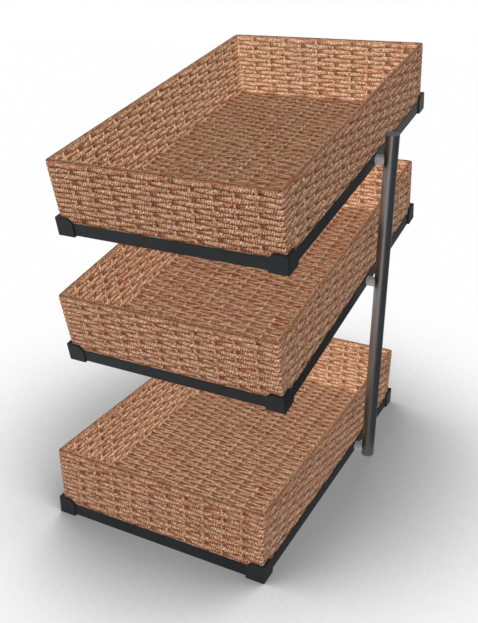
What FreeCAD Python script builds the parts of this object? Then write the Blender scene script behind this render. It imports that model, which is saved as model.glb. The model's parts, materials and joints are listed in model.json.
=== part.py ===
import FreeCAD, Part
import math
import os

# Bread basket stand: two upright posts carry three trays, with a woven basket in each.
# Millimetres. +X is to the right, +Y to the back and +Z up, as the customer in front sees it.
# The origin is on the table, under the middle of the whole stand.

# Baskets: gastronorm 1/1 in outline, measured over the rim
BASKET_WIDTH = 325.0
BASKET_LENGTH = 530.0
BASKET_HEIGHT = 102.0
BASKET_DRAFT = 1.5             # how far each wall leans out between foot and rim
BASKET_WALL = 7.0
BASKET_FLOOR = 7.0
BASKET_INSIDE_CORNER = 1.0     # radius of the upright inside corners
BASKET_OUTSIDE_CORNER = 5.0    # radius of the upright outside corners
BASKET_RIM = 3.4               # height of the border on top of the woven rows
WALL_ROW = 6.93                # height of a woven row on the walls
FLOOR_ROW = 7.15               # width of a woven row on the floor
ROW_GROOVE = 2.4               # depth of the valley between two rows, on each face
BASKET_SIDE_GAP = 1.0          # basket foot to the rail beside it
BASKET_SEAT_GAP = 0.1          # basket underside to the ledge that carries it

# Tray rails: steel strip folded to an angle, upright leg outside, ledge inside
RAIL_HEIGHT = 18.0
RAIL_LEDGE = 14.0              # width of the ledge over the leg
RAIL_THICKNESS = 1.5
RAIL_INSIDE_BEND = 0.5

# Tray corners: cast pieces that wrap the ends of two rails
CORNER_WALL = 2.0
CORNER_SOLE = 1.0
CORNER_HEIGHT = 26.0
CORNER_ARM = 27.0              # length of each arm, from the outside corner
CORNER_ROUND = 2.0             # radius of the upright outside edge
CORNER_EDGE = 0.8              # radius along the top of the outside faces

# Countersunk screws that hold a corner to its rails, set from inside
CORNER_SCREW_SHANK = 2.5
CORNER_SCREW_HEAD = 4.7
CORNER_SCREW_FROM_END = 9.0    # screw axis to the free end of the arm
CORNER_SCREW_COVER = 0.5       # cast wall left in front of the screw's tip
CORNER_SCREW_SINK = 0.1        # head below the rail's face

# Pivot at each side of each tray: screw, spacer and threaded insert
PIVOT_SCREW_SHANK = 5.0
PIVOT_SCREW_HEAD = 10.0
PIVOT_SCREW_REACH = 7.5        # screw tip past the near side of the post
PIVOT_SCREW_SINK = 0.2
PIVOT_SOCKET_FLATS = 3.0
PIVOT_SOCKET_DEPTH = 1.8
DIMPLE_LIP = 0.4               # sheet past the small end of the pressed cone
SPACER_LENGTH = 11.0           # rail to the near side of the post
SPACER_RIM = 1.25              # flat ring round the spacer's cone seat
SPACER_GAP = 0.1
INSERT_DIAMETER = 7.0
INSERT_LENGTH = 9.0
INSERT_COLLAR_DIAMETER = 9.0
INSERT_COLLAR_LENGTH = 2.5

# Posts: round tube closed by a cap at the top and a plug at the foot
POST_DIAMETER = 20.0
POST_WALL = 1.5
POST_ABOVE_PIVOT = 39.0        # top of the cap over the upper tray's pivot
POST_END_HEAD = 3.0            # thickness of the cap and of the plug outside the tube
POST_END_ROUND = 1.2
POST_END_SPIGOT = 12.0
POST_END_GAP = 0.1
PLUG_NOTCH_GAP = 0.4           # plug to the lowest insert

# Tiers
TILT_DEGREES = 12.0            # slope of the two upper trays towards the customer
LOWER_SETBACK = 83.0           # pivot behind the middle of the level lower tray
UPPER_SETBACK = 39.0           # pivot behind the middle of each sloping tray
LOWER_TO_MIDDLE = 290.0        # rise from pivot to pivot
MIDDLE_TO_UPPER = 182.0

# Clearances shared by every screw
TURNING_FIT = 0.05             # round a shank that turns in its hole or thread
CONE_GAP = 0.1                 # between a countersunk head or pressed cone and its seat
OVERCUT = 1.0                  # how far a cutting shape starts outside the face that it cuts

# Sizes that follow from those above, halves measured from the middle of a tray
FOOT_X = BASKET_WIDTH / 2 - BASKET_DRAFT
FOOT_Y = BASKET_LENGTH / 2 - BASKET_DRAFT
RAIL_IN_X = FOOT_X + BASKET_SIDE_GAP
RAIL_IN_Y = FOOT_Y + BASKET_SIDE_GAP
RAIL_OUT_X = RAIL_IN_X + RAIL_THICKNESS
RAIL_OUT_Y = RAIL_IN_Y + RAIL_THICKNESS
TRAY_X = RAIL_OUT_X + CORNER_WALL
TRAY_Y = RAIL_OUT_Y + CORNER_WALL
LEDGE_Z = CORNER_SOLE + RAIL_THICKNESS
RAIL_TOP = CORNER_SOLE + RAIL_HEIGHT
RAIL_MIDDLE = CORNER_SOLE + RAIL_HEIGHT / 2
SEAT_Z = LEDGE_Z + BASKET_SEAT_GAP
RIM_Z = SEAT_Z + BASKET_HEIGHT
POST_RADIUS = POST_DIAMETER / 2
POST_NEAR_X = RAIL_OUT_X + SPACER_LENGTH
POST_X = POST_NEAR_X + POST_RADIUS
LOWER_PIVOT = RAIL_MIDDLE
MIDDLE_PIVOT = LOWER_PIVOT + LOWER_TO_MIDDLE
UPPER_PIVOT = MIDDLE_PIVOT + MIDDLE_TO_UPPER
POST_TOP = UPPER_PIVOT + POST_ABOVE_PIVOT
CONE_OFFSET = math.sqrt(2.0)   # sideways step of a 90 degree cone per unit of wall or gap

TIERS = {
    "lower": (LOWER_SETBACK, LOWER_PIVOT, 0.0),
    "middle": (UPPER_SETBACK, MIDDLE_PIVOT, TILT_DEGREES),
    "upper": (UPPER_SETBACK, UPPER_PIVOT, TILT_DEGREES),
}
SIDES = {"left": -1, "right": 1}
ENDS = {"front": -1, "rear": 1}


def depth_from_pivot(y, z, setback, tilt):
    """Depth behind the posts of a tray's own point once the tray is tilted."""
    angle = math.radians(tilt)
    return (y - setback) * math.cos(angle) - (z - RAIL_MIDDLE) * math.sin(angle)


def post_depth():
    """Y of the posts that puts the origin midway between the frontmost and rearmost points."""
    outline = [(end * TRAY_Y, z) for end in ENDS.values() for z in (0.0, CORNER_HEIGHT)]
    outline += [(end * BASKET_LENGTH / 2, RIM_Z) for end in ENDS.values()]
    depths = [
        depth_from_pivot(y, z, setback, tilt)
        for setback, _, tilt in TIERS.values()
        for y, z in outline
    ]
    return -(min(depths) + max(depths)) / 2


POST_Y = post_depth()


def vector(x, y, z):
    return FreeCAD.Vector(x, y, z)


def tray_placement(tier):
    """Carries a tray's own frame to its tilted place between the posts."""
    setback, height, tilt = TIERS[tier]
    turn = FreeCAD.Rotation(vector(1, 0, 0), tilt)
    pivot = turn.multVec(vector(0, setback, RAIL_MIDDLE))
    return FreeCAD.Placement(vector(0, POST_Y, height) - pivot, turn)


def placed(shape, tier):
    moved = shape.copy()
    moved.Placement = tray_placement(tier)
    return moved


def centred_box(half_x, half_y, bottom, top):
    return Part.makeBox(2 * half_x, 2 * half_y, top - bottom, vector(-half_x, -half_y, bottom))


def prism(points, direction):
    """Solid swept from a flat closed outline along a direction."""
    outline = Part.makePolygon(points + points[:1])
    return Part.Face(outline).extrude(direction)


def edges_where(shape, test):
    return [edge for edge in shape.Edges if all(test(vertex.Point) for vertex in edge.Vertexes)]


def same(a, b):
    return abs(a - b) < 1e-6


def screw_solid(point, outward, shank, head, sink, length):
    """Countersunk 90 degree screw: its head lies sunk in the face at point, its tip points outward."""
    cone = (head - shank) / 2
    top = point + outward * sink
    solid = Part.makeCone(head / 2, shank / 2, cone, top, outward)
    stem = Part.makeCylinder(shank / 2, length - cone, top + outward * cone, outward)
    return solid.fuse(stem).removeSplitter()


def seat_radius(head, sink):
    """Radius of a screw's cone seat where it opens in the face."""
    return head / 2 + sink + CONE_GAP * CONE_OFFSET


def screw_hole(point, outward, shank, head, sink, depth):
    """Cutting shape for a countersunk hole that clears a screw all round."""
    mouth = seat_radius(head, sink) + OVERCUT
    hole = shank / 2 + TURNING_FIT
    start = point - outward * OVERCUT
    cone = Part.makeCone(mouth, hole, mouth - hole, start, outward)
    return cone.fuse(Part.makeCylinder(hole, depth + OVERCUT, start, outward))


def corner_screw_places():
    """Point on the rail's inner face and outward direction of each corner screw of a tray."""
    along = CORNER_ARM - CORNER_SCREW_FROM_END
    places = []
    for side in SIDES.values():
        for end in ENDS.values():
            on_end = vector(side * (TRAY_X - along), end * RAIL_IN_Y, RAIL_MIDDLE)
            on_side = vector(side * RAIL_IN_X, end * (TRAY_Y - along), RAIL_MIDDLE)
            places.append((on_end, vector(0, end, 0)))
            places.append((on_side, vector(side, 0, 0)))
    return places


def corner_screw_holes():
    depth = RAIL_THICKNESS + CORNER_WALL - CORNER_SCREW_COVER
    holes = [
        screw_hole(point, outward, CORNER_SCREW_SHANK, CORNER_SCREW_HEAD, CORNER_SCREW_SINK, depth)
        for point, outward in corner_screw_places()
    ]
    return Part.makeCompound(holes)


def corner_screws():
    length = RAIL_THICKNESS + CORNER_WALL - CORNER_SCREW_COVER - CORNER_SCREW_SINK - TURNING_FIT
    screws = [
        screw_solid(point, outward, CORNER_SCREW_SHANK, CORNER_SCREW_HEAD, CORNER_SCREW_SINK, length)
        for point, outward in corner_screw_places()
    ]
    return Part.makeCompound(screws)


def dimple_radius(depth):
    """Outside radius of the cone pressed in a side rail, at a depth outward from the inner face."""
    return seat_radius(PIVOT_SCREW_HEAD, PIVOT_SCREW_SINK) + RAIL_THICKNESS * CONE_OFFSET - depth


def dimple_end():
    """Depth at which the pressed cone stops."""
    hole = PIVOT_SCREW_SHANK / 2 + TURNING_FIT
    return seat_radius(PIVOT_SCREW_HEAD, PIVOT_SCREW_SINK) - hole + DIMPLE_LIP


def rail_ends(edge):
    """Outside corners of a tray's rails at the two ends of one edge, in X and Y."""
    if edge in SIDES:
        return [(SIDES[edge] * RAIL_OUT_X, end * RAIL_OUT_Y) for end in ENDS.values()]
    return [(side * RAIL_OUT_X, ENDS[edge] * RAIL_OUT_Y) for side in SIDES.values()]


def leg_distance(point, edge):
    """How far a point lies from the middle of the tray, towards one edge or the edge facing it."""
    return abs(point.x) if edge in SIDES else abs(point.y)


def rail(edge):
    """Angle strip along one edge of a tray, mitred at both ends, in the tray's own frame."""
    ends = rail_ends(edge)
    inner = [(x - math.copysign(RAIL_LEDGE, x), y - math.copysign(RAIL_LEDGE, y)) for x, y in ends]
    plan = [vector(x, y, CORNER_SOLE) for x, y in ends + inner[::-1]]
    solid = prism(plan, vector(0, 0, RAIL_HEIGHT))
    solid = solid.cut(centred_box(RAIL_IN_X, RAIL_IN_Y, LEDGE_Z, RAIL_TOP + OVERCUT))
    inside, outside = (RAIL_IN_X, RAIL_OUT_X) if edge in SIDES else (RAIL_IN_Y, RAIL_OUT_Y)
    bend = edges_where(solid, lambda p: same(p.z, LEDGE_Z) and same(leg_distance(p, edge), inside))
    solid = solid.makeFillet(RAIL_INSIDE_BEND, bend)
    bend = edges_where(solid, lambda p: same(p.z, CORNER_SOLE) and same(leg_distance(p, edge), outside))
    return solid.makeFillet(RAIL_INSIDE_BEND + RAIL_THICKNESS, bend)


def side_rail(edge, setback):
    """Left or right rail with the pressed cone and the hole that its pivot screw turns in."""
    outward = vector(SIDES[edge], 0, 0)
    point = vector(SIDES[edge] * RAIL_IN_X, setback, RAIL_MIDDLE)
    start = RAIL_THICKNESS / 2
    end = dimple_end()
    radii = (dimple_radius(start), dimple_radius(end))
    dimple = Part.makeCone(*radii, end - start, point + outward * start, outward)
    hole = screw_hole(point, outward, PIVOT_SCREW_SHANK, PIVOT_SCREW_HEAD, PIVOT_SCREW_SINK, end + OVERCUT)
    return rail(edge).fuse(dimple).cut(hole)


def corner(side, end):
    """Cast corner: two arms with sloped ends, a lip over the rails and a sole under them."""
    x = side * TRAY_X
    y = end * TRAY_Y
    slope = CORNER_HEIGHT - RAIL_TOP
    top_run = CORNER_ARM + RAIL_TOP
    profile = [(0, 0), (CORNER_ARM, 0), (CORNER_ARM, RAIL_TOP)]
    profile += [(CORNER_ARM - slope, CORNER_HEIGHT), (0, CORNER_HEIGHT)]
    lip = CORNER_WALL + RAIL_THICKNESS
    along_x = prism([vector(x - side * s, y, z) for s, z in profile], vector(0, -end * lip, 0))
    along_y = prism([vector(x, y - end * s, z) for s, z in profile], vector(-side * lip, 0, 0))
    sole_width = CORNER_WALL + RAIL_LEDGE
    sole_plan = [(0, 0), (CORNER_ARM, 0), (CORNER_ARM, sole_width), (sole_width, sole_width)]
    sole_plan += [(sole_width, CORNER_ARM), (0, CORNER_ARM)]
    sole = prism([vector(x - side * u, y - end * v, 0) for u, v in sole_plan], vector(0, 0, CORNER_SOLE))
    solid = along_x.fuse([along_y, sole]).removeSplitter()
    upright = edges_where(solid, lambda p: same(p.x, x) and same(p.y, y))
    solid = solid.makeFillet(CORNER_ROUND, upright)

    def on_top(p):
        on_slope = same(abs(p.x - x) + p.z, top_run) or same(abs(p.y - y) + p.z, top_run)
        return (same(p.x, x) or same(p.y, y)) and (same(p.z, CORNER_HEIGHT) or on_slope)

    solid = solid.makeFillet(CORNER_EDGE, edges_where(solid, on_top))
    return solid.cut(centred_box(RAIL_OUT_X, RAIL_OUT_Y, CORNER_SOLE, RAIL_TOP))


def rounded_outline(half_x, half_y, radius, z):
    """Closed wire of a rectangle with round corners at one height."""
    near_x = half_x - radius
    near_y = half_y - radius
    middle = radius * math.sqrt(0.5)
    edges = []
    for quarter in range(4):
        sx = (1, -1, -1, 1)[quarter]
        sy = (1, 1, -1, -1)[quarter]
        on_x = vector(sx * half_x, sy * near_y, z)
        on_y = vector(sx * near_x, sy * half_y, z)
        turn = vector(sx * (near_x + middle), sy * (near_y + middle), z)
        start, stop = (on_x, on_y) if quarter % 2 == 0 else (on_y, on_x)
        if edges:
            edges.append(Part.makeLine(edges[-1].lastVertex().Point, start))
        edges.append(Part.Arc(start, turn, stop).toShape())
    edges.append(Part.makeLine(edges[-1].lastVertex().Point, edges[0].firstVertex().Point))
    return Part.Wire(edges)


def row_levels(bottom):
    """Heights of the valleys between the woven rows and of the crests of the rows, from a height up."""
    highest = BASKET_HEIGHT - BASKET_RIM
    rows = int((highest - bottom) / WALL_ROW)
    valleys = [highest - row * WALL_ROW for row in range(rows, -1, -1)]
    crests = [(low + high) / 2 for low, high in zip(valleys, valleys[1:])]
    return valleys, crests


def basket_wall(crest, valley, corner_radius, bottom, top):
    """Solid within the leaning, ribbed walls: its insets at crests and valleys, between two heights."""
    valleys, crests = row_levels(bottom)
    border = BASKET_HEIGHT - BASKET_RIM / 2
    stations = [(z, crest) for z in [bottom, *crests, border, top]]
    stations += [(z, valley) for z in valleys]
    wires = []
    for z, inset in sorted(stations):
        lean = BASKET_DRAFT * z / BASKET_HEIGHT - inset
        radius = corner_radius + crest - inset
        wires.append(rounded_outline(FOOT_X + lean, FOOT_Y + lean, radius, SEAT_Z + z))
    return Part.makeLoft(wires, True, True)


def floor_grooves():
    """Cutting shape for the valleys between the rows that cross the floor."""
    inset = BASKET_WALL - BASKET_DRAFT * BASKET_FLOOR / BASKET_HEIGHT
    half_x = FOOT_X - inset
    half_y = FOOT_Y - inset
    rows = int(2 * half_y / FLOOR_ROW)
    pitch = 2 * half_y / rows
    top = SEAT_Z + BASKET_FLOOR
    points = [vector(-half_x, half_y, top + OVERCUT), vector(-half_x, -half_y, top + OVERCUT)]
    for row in range(rows):
        near = row * pitch - half_y
        points.append(vector(-half_x, near, top))
        points.append(vector(-half_x, near + pitch / 2, top - ROW_GROOVE))
    points.append(vector(-half_x, half_y, top))
    return prism(points, vector(2 * half_x, 0, 0))


def basket():
    """Open basket with woven rows as ribs on its leaning walls and its floor, in the tray's own frame."""
    deep = BASKET_WALL - ROW_GROOVE
    clear = BASKET_HEIGHT + OVERCUT
    outside = basket_wall(0.0, ROW_GROOVE, BASKET_OUTSIDE_CORNER, 0.0, BASKET_HEIGHT)
    inside = basket_wall(BASKET_WALL, deep, BASKET_INSIDE_CORNER, BASKET_FLOOR, clear)
    return outside.cut(inside).cut(floor_grooves())


def pivot_point(side, height):
    """Where a pivot's axis meets the inner face of a side rail."""
    return vector(side * RAIL_IN_X, POST_Y, height)


def pivot_screw(side, height):
    """Countersunk screw with a hexagon socket, through rail and spacer into the post."""
    outward = vector(side, 0, 0)
    point = pivot_point(side, height)
    length = RAIL_THICKNESS + SPACER_LENGTH + PIVOT_SCREW_REACH - PIVOT_SCREW_SINK
    solid = screw_solid(point, outward, PIVOT_SCREW_SHANK, PIVOT_SCREW_HEAD, PIVOT_SCREW_SINK, length)
    reach = PIVOT_SOCKET_FLATS / math.sqrt(3.0)
    corners = []
    for step in range(6):
        angle = math.radians(60.0 * step)
        corners.append(point + vector(0, reach * math.cos(angle), reach * math.sin(angle)))
    return solid.cut(prism(corners, outward * (PIVOT_SCREW_SINK + PIVOT_SOCKET_DEPTH)))


def spacer(side, height):
    """Turned stand-off: cone seat for the rail at one end, saddle for the round post at the other."""
    outward = vector(side, 0, 0)
    point = pivot_point(side, height)
    start = RAIL_THICKNESS + SPACER_GAP
    stop = RAIL_THICKNESS + SPACER_LENGTH + POST_RADIUS
    seat = dimple_radius(start) + CONE_GAP * CONE_OFFSET
    seat_end = dimple_end() + CONE_GAP
    body = Part.makeCylinder(seat + SPACER_RIM, stop - start, point + outward * start, outward)
    depth = seat_end - start + OVERCUT
    mouth = seat + OVERCUT
    cone = Part.makeCone(mouth, mouth - depth, depth, point + outward * (start - OVERCUT), outward)
    bore = Part.makeCylinder(PIVOT_SCREW_SHANK / 2 + TURNING_FIT, stop, point, outward)
    saddle_from = vector(side * POST_X, POST_Y, height - POST_DIAMETER)
    saddle = Part.makeCylinder(POST_RADIUS + SPACER_GAP, 2 * POST_DIAMETER, saddle_from)
    return body.cut([cone, bore, saddle])


def insert_start():
    """Depth below the post's near side at which a flat end of the insert lies flush with the round tube."""
    radius = INSERT_DIAMETER / 2
    return POST_RADIUS - math.sqrt(POST_RADIUS ** 2 - radius ** 2)


def thread_insert(side, height):
    """Threaded insert: body through the tube's wall and a collar set behind it."""
    outward = vector(side, 0, 0)
    near = vector(side * POST_NEAR_X, POST_Y, height)
    bore_radius = POST_RADIUS - POST_WALL
    collar_radius = INSERT_COLLAR_DIAMETER / 2
    behind = POST_RADIUS - math.sqrt(bore_radius ** 2 - collar_radius ** 2) + TURNING_FIT
    body = Part.makeCylinder(INSERT_DIAMETER / 2, INSERT_LENGTH, near + outward * insert_start(), outward)
    collar = Part.makeCylinder(collar_radius, INSERT_COLLAR_LENGTH, near + outward * behind, outward)
    thread = Part.makeCylinder(PIVOT_SCREW_SHANK / 2 + TURNING_FIT, 2 * POST_RADIUS, near, outward)
    return body.fuse(collar).cut(thread)


def post_tube(side):
    """Upright tube with a hole for each insert on the side that faces the trays."""
    base = vector(side * POST_X, POST_Y, POST_END_HEAD)
    height = POST_TOP - 2 * POST_END_HEAD
    tube = Part.makeCylinder(POST_RADIUS, height, base)
    tube = tube.cut(Part.makeCylinder(POST_RADIUS - POST_WALL, height, base))
    radius = INSERT_DIAMETER / 2 + TURNING_FIT
    inward = vector(-side, 0, 0)
    levels = [vector(side * POST_X, POST_Y, height) for _, height, _ in TIERS.values()]
    return tube.cut([Part.makeCylinder(radius, POST_DIAMETER, centre, inward) for centre in levels])


def post_end(side, seat, up):
    """Cap or plug: a rounded head outside the tube and a spigot inside it; up is +1 for the cap."""
    centre = vector(side * POST_X, POST_Y, seat)
    axis = vector(0, 0, up)
    head = Part.makeCylinder(POST_RADIUS, POST_END_HEAD, centre, axis)
    rim = edges_where(head, lambda p: same(p.z, seat + up * POST_END_HEAD))
    rim = [edge for edge in rim if len(edge.Vertexes) == 1]
    head = head.makeFillet(POST_END_ROUND, rim)
    spigot = Part.makeCylinder(POST_RADIUS - POST_WALL - POST_END_GAP, POST_END_SPIGOT, centre, axis * -1)
    return head.fuse(spigot).removeSplitter()


def foot_plug(side):
    """Plug at the foot, with its spigot notched so that it slides up past the lowest insert."""
    radius = INSERT_COLLAR_DIAMETER / 2 + PLUG_NOTCH_GAP
    near = vector(side * POST_NEAR_X, POST_Y, LOWER_PIVOT)
    depth = insert_start() + INSERT_LENGTH + PLUG_NOTCH_GAP
    round_part = Part.makeCylinder(radius, depth, near, vector(side, 0, 0))
    corners = [(-radius, 0), (radius, 0), (radius, POST_END_SPIGOT), (-radius, POST_END_SPIGOT)]
    slot = prism([near + vector(0, y, z) for y, z in corners], vector(side * depth, 0, 0))
    return post_end(side, POST_END_HEAD, -1).cut([round_part, slot])


def tray_nodes(tier):
    """Every piece that belongs to one tray and its basket, by name."""
    setback = TIERS[tier][0]
    holes = corner_screw_holes()
    nodes = {}
    for end in ENDS:
        nodes[f"{tier}_{end}_rail"] = rail(end).cut(holes)
    for side in SIDES:
        nodes[f"{tier}_{side}_rail"] = side_rail(side, setback).cut(holes)
        for end in ENDS:
            nodes[f"{tier}_{end}_{side}_corner"] = corner(SIDES[side], ENDS[end]).cut(holes)
    nodes[f"{tier}_corner_screws"] = corner_screws()
    nodes[f"{tier}_basket"] = basket()
    return {name: placed(shape, tier) for name, shape in nodes.items()}


def pivot_nodes(tier):
    """Screw, spacer and insert at both sides of one tray, by name."""
    height = TIERS[tier][1]
    nodes = {}
    for side, sign in SIDES.items():
        nodes[f"{tier}_{side}_pivot_screw"] = pivot_screw(sign, height)
        nodes[f"{tier}_{side}_spacer"] = spacer(sign, height)
        nodes[f"{tier}_{side}_thread_insert"] = thread_insert(sign, height)
    return nodes


def post_nodes():
    """Tube, cap and foot plug of both posts, by name."""
    nodes = {}
    for side, sign in SIDES.items():
        nodes[f"{side}_post"] = post_tube(sign)
        nodes[f"{side}_post_cap"] = post_end(sign, POST_TOP - POST_END_HEAD, 1)
        nodes[f"{side}_foot_plug"] = foot_plug(sign)
    return nodes


def main():
    os.makedirs("parts", exist_ok=True)
    nodes = post_nodes()
    for tier in TIERS:
        nodes.update(tray_nodes(tier))
        nodes.update(pivot_nodes(tier))
    for name, shape in nodes.items():
        shape.exportStep(os.path.join("parts", f"{name}.step"))


main()
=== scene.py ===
"""Looks of a three tier bread basket stand: woven baskets, coated trays, steel posts, a pale studio."""

import json
import math
from typing import NamedTuple

import bpy
import numpy as np
from bpy.props import FloatProperty, FloatVectorProperty, IntProperty, PointerProperty
from mathutils import Matrix, Vector


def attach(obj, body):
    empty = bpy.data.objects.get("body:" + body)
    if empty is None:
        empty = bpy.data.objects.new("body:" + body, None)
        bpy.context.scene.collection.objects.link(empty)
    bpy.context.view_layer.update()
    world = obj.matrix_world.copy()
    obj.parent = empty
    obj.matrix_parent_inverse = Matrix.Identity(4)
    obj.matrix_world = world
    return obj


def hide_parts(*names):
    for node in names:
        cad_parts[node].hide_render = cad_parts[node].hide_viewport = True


bl_info = {
    "name": "Bread Basket Stand",
    "version": (1, 0, 0),
    "blender": (4, 5, 0),
    "location": "View3D > Sidebar > Basket Stand",
    "description": "Weaves the baskets of a three tier bread stand and finishes its metal parts",
    "category": "Object",
}

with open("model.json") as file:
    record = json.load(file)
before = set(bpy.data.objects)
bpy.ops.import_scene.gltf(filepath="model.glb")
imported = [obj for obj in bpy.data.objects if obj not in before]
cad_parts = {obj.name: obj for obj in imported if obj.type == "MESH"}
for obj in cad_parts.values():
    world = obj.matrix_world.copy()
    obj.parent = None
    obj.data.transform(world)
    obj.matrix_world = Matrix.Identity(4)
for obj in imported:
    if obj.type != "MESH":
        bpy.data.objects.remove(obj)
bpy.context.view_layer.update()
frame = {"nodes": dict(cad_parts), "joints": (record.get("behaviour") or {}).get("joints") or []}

MM = 0.001
TURN = 2 * math.pi
TIERS = ("lower", "middle", "upper")
SIDES = ("left", "right")
ENDS = ("front", "rear")

# Inputs and output of a colour Mix node, which share their names with those of its other kinds.
MIX_FACTOR, MIX_A, MIX_B, MIX_RESULT = 0, 6, 7, 2
# A Wave texture's bands repeat every pi / 10 units at scale 1.
BAND_PERIOD = math.pi / 10

# Directions along and out of the front, right, rear and left walls, seen from above.
ALONG_WALL = np.array([[1.0, 0.0], [0.0, 1.0], [-1.0, 0.0], [0.0, -1.0]])
OUT_OF_WALL = np.array([[0.0, -1.0], [1.0, 0.0], [0.0, 1.0], [-1.0, 0.0]])

# Unevenness of the handwork: how far rows wander and stakes bend, and the share by which widths vary.
ROW_WANDER, STAKE_BEND = 0.35 * MM, 0.4 * MM
WALL_UNEVEN, FLOOR_UNEVEN = 0.06, 0.05
# Spread of the tone from strand to strand, and how much further up the colour ramp the stakes are.
WALL_TONE, FLOOR_TONE, STAKE_TONE = 0.03, 0.05, 0.08
# Paleness given all over to wall stakes, floor stakes and border, as a value below 0 where painted shade
# lies above 0.
STAKE_PALENESS, FLOOR_STAKE_PALENESS, RIM_PALENESS = -0.38, -0.25, -0.05
# Points round the sections of wall strands, of stakes and floor strands, and of the border.
WALL_POINTS, ROD_POINTS, RIM_POINTS = 10, 8, 14
# Power that squares off the sections of wall strands and border, and depth of the border's lobes.
SQUARED, LOBE_DEPTH = 0.7, 0.07
# Rings along a stake, and along a floor strand from one stake to the next.
STAKE_RINGS, FLOOR_SAMPLES = 9, 10
# Stake spaces from a corner at which a strand's swing begins, and at which it is whole.
SWING_BEGINS, SWING_WHOLE = 0.05, 0.6
# How far the strand map moves on from tube to tube, along and round it.
NEXT_ALONG, NEXT_ROUND = 0.731, 0.057
# Slant of the twist grooves across a strand.
TWIST_SLANT = math.radians(18)

# Start, end and rise of the dark card's panels: two on the right, one at the rear, one flat at the foot.
CARD_PANELS = np.array(
    [
        [[0.40, -0.45, 0.0], [0.40, 0.50, 0.0], [0.0, 0.0, 0.75]],
        [[0.40, 0.50, 0.0], [0.40, 1.10, 0.0], [0.0, 0.0, 0.28]],
        [[0.20, 0.62, 0.0], [-0.40, 0.75, 0.0], [0.0, 0.0, 0.75]],
        [[0.22, -0.45, 0.001], [0.22, 0.50, 0.001], [0.18, 0.0, 0.0]],
    ]
)
# How far the studio floor reaches, and how little it lies under the feet.
FLOOR_REACH, FLOOR_DROP = 6.0, 0.2 * MM
# The floor's painted shadow reaches out from the object by about the height of the stand.
SHADE_REACH = 0.8
# Open share of the space over the floor, and how light its painted shadow shows the floor. The ramp's ends
# come first.
SHADE_STEPS = ((0.55, 0.26), (0.89, 1.0), (0.66, 0.375), (0.74, 0.535), (0.795, 0.675), (0.84, 0.865))


def linear(hex_colour):
    """Linear red, green, blue and alpha of an sRGB hex colour."""
    srgb = np.array([int(hex_colour[i : i + 2], 16) for i in (1, 3, 5)]) / 255
    values = np.where(srgb <= 0.04045, srgb / 12.92, ((srgb + 0.055) / 1.055) ** 2.4)
    return (*values.tolist(), 1.0)


def length_property(name, description, millimetres):
    """A length that Blender shows in the scene's units."""
    return FloatProperty(
        name=name, description=description, default=millimetres * MM, unit="LENGTH", precision=5
    )


def colour_property(name, description, hex_colour):
    """A colour swatch whose default is written as sRGB hex."""
    return FloatVectorProperty(
        name=name,
        description=description,
        default=linear(hex_colour),
        size=4,
        subtype="COLOR",
        min=0,
        max=1,
    )


def angle_property(name, description, degrees):
    """An angle whose default is written in degrees."""
    return FloatProperty(
        name=name, description=description, default=math.radians(degrees), subtype="ANGLE"
    )


def strength_property(name, description, strength):
    """The strength of a light."""
    return FloatProperty(name=name, description=description, default=strength, min=0)


class WeaveSizes(bpy.types.PropertyGroup):
    """Sizes of the plain weave: flat strands go over one stake and under the next."""

    row_pitch: length_property("Row pitch", "Height of one woven row on the walls", 6.93)
    floor_pitch: length_property("Floor row pitch", "Width of one woven row on the floor", 7.15)
    stake_pitch: length_property("Stake pitch", "Distance from one stake to the next", 29.0)
    thickness: length_property("Wall thickness", "Whole thickness of the weave, face to face", 7.0)
    strand_thickness: length_property("Strand thickness", "Thickness of a strand", 4.6)
    strand_lap: length_property("Strand lap", "How far neighbouring strands press into each other", 0.4)
    strand_swell: length_property("Strand swell", "Extra width of a strand where it passes a stake", 0.5)
    stake_width: length_property("Stake width", "Width of a stake, along the wall", 3.4)
    stake_depth: length_property("Stake depth", "Depth of a stake, through the wall", 5.2)
    corner_radius: length_property("Corner radius", "Bend of a strand's middle line round a corner", 2.5)
    rim_height: length_property("Rim height", "Height of the rolled border on top of the walls", 3.4)
    twist_pitch: length_property("Twist pitch", "Distance between the twist marks along a strand", 3.1)
    samples: IntProperty(
        name="Samples", description="Rings of a strand from stake to stake", default=12, min=6, max=16
    )
    seed: IntProperty(name="Seed", description="Start of the random unevenness", default=7, min=0)


class WickerColours(bpy.types.PropertyGroup):
    """Colours of the twisted rattan strands."""

    rust: colour_property("Rust", "Reddest patches", "#C8744A")
    tan: colour_property("Tan", "Most of the strands", "#D49C74")
    straw: colour_property("Straw", "Palest patches", "#EAC09A")
    ochre: colour_property("Ochre", "Yellowish patches", "#D4A46E")
    blush: colour_property("Blush", "Pinkish patches", "#DCA892")
    # Umber paints shade into the twist grooves, the weave's recesses and the strands' lower edges.
    umber: colour_property("Umber", "Grooves of the twist and recesses of the weave", "#3C1A0A")
    # The pale colour paints a highlight on the strands' upper edges, and tints stakes and border.
    highlight_and_pale: colour_property("Worn", "Upper edges of the strands, rubbed pale", "#A8A09C")
    # This colour is painted shade: it darkens the faces of the weave that look out of a basket.
    outside_shade: colour_property("Lacquer", "Tint of the thin lacquer on the baskets' outside", "#D6C7BF")
    border: colour_property("Border", "Weathered border along the rim", "#D0A480")


class MetalColours(bpy.types.PropertyGroup):
    """Colours of the trays, posts and fittings."""

    coating: colour_property("Tray coating", "Anthracite powder coat of rails and corners", "#202224")
    gunmetal: colour_property("Post steel", "Dark satin steel of the posts", "#949596")
    plastic: colour_property("Post ends", "Satin plastic of caps and plugs", "#54565A")
    chrome: colour_property("Spacers", "Satin plating of the spacers", "#B4B6B8")
    zinc: colour_property("Fasteners", "Zinc plating of screws and inserts", "#A9ADB0")


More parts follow.
